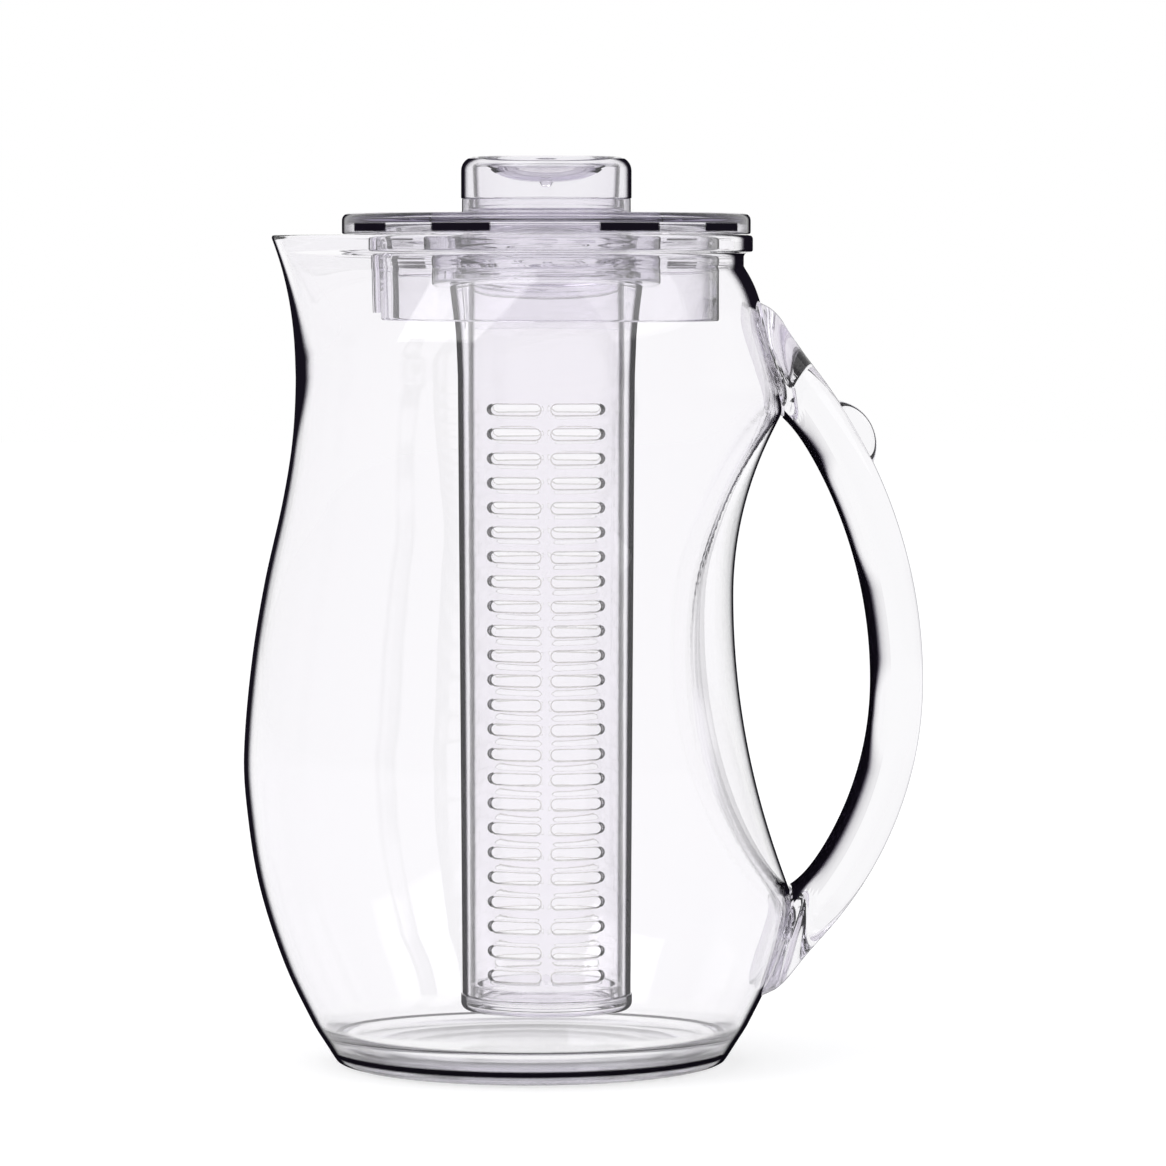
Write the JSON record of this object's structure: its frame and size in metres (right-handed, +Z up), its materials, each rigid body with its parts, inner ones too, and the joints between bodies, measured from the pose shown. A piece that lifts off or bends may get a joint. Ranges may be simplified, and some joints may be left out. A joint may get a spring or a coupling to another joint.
{
  "type": "fruit infuser pitcher",
  "caption": "Clear pitcher with a drawn-out spout, a scooped back, a bow handle, and a round lid with a hollow knob that carries a slotted infuser tube.",
  "frame": {"origin": "centre of the ring that the jug stands on, on the jug's own axis, at table level", "axes": "+Z up, +X towards the handle, -X towards the spout"},
  "size_m": [0.195, 0.165, 0.2604],
  "materials": {
    "jug_acrylic": "clear gloss",
    "lid_acrylic": "clear gloss",
    "tube_acrylic": "clear gloss"
  },
  "bodies": {
    "vessel": {"jug": "jug_acrylic", "handle": "jug_acrylic"},
    "infuser": {"infuser_tube": "tube_acrylic", "tube_end_cap": "tube_acrylic"},
    "cover": {"lid": "lid_acrylic", "knob_cap": "lid_acrylic"}
  },
  "joints": [
    {"name": "insert_lift", "type": "slide", "parent": "vessel", "child": "infuser", "axis": [0, 0, 1], "range_m": [0, 0.23]},
    {"name": "lid_turn", "type": "hinge", "parent": "infuser", "child": "cover", "pos_m": [0.0045, 0, 0.238], "axis": [0, 0, 1], "continuous": true}
  ]
}
